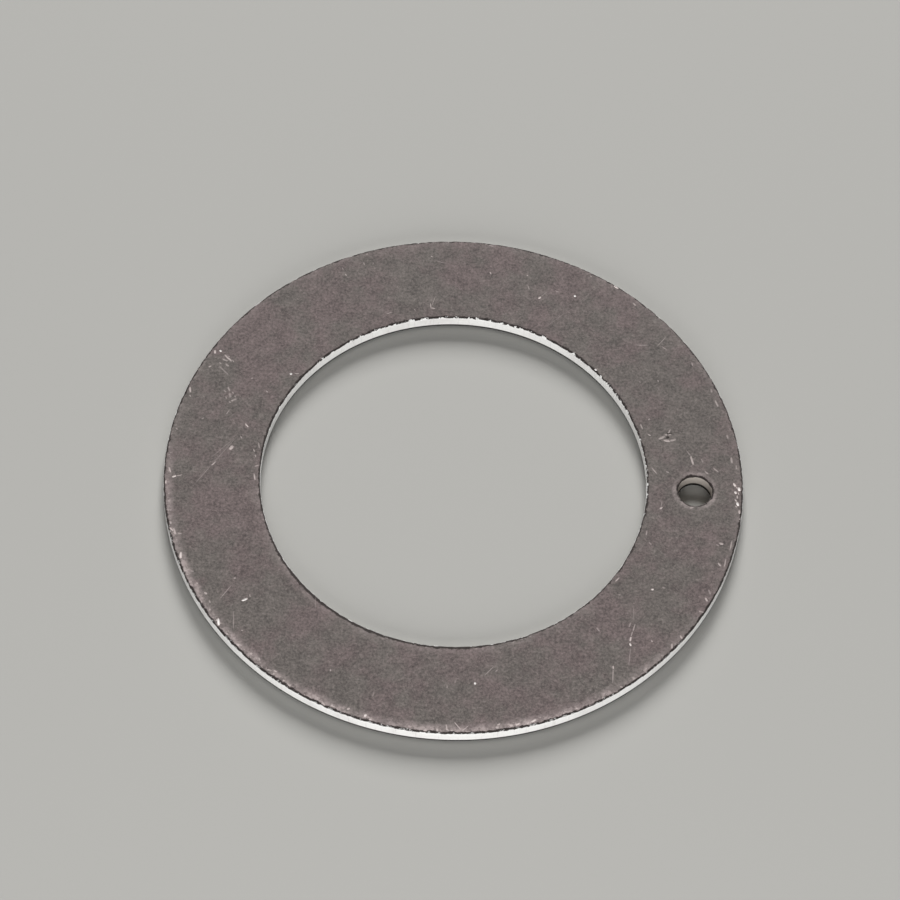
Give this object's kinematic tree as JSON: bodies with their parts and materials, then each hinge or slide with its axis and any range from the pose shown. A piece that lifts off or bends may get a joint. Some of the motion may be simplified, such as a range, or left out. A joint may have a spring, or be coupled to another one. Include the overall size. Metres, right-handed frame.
{
  "type": "shim ring",
  "caption": "Flat steel shim ring with a dark low-friction lining on one face, a wide bore and one small locating hole.",
  "frame": {"origin": "centre of the bore, on the plain underside that the ring lies on", "axes": "+Z along the bore's axis, out of the lined face; +X from the bore's axis to the locating hole"},
  "size_m": [0.078, 0.078, 0.0022],
  "materials": {
    "lined_steel": "satin dark grey-brown lining over bright sheared steel edges"
  },
  "bodies": {
    "root": {"shim_ring": "lined_steel"}
  },
  "joints": []
}
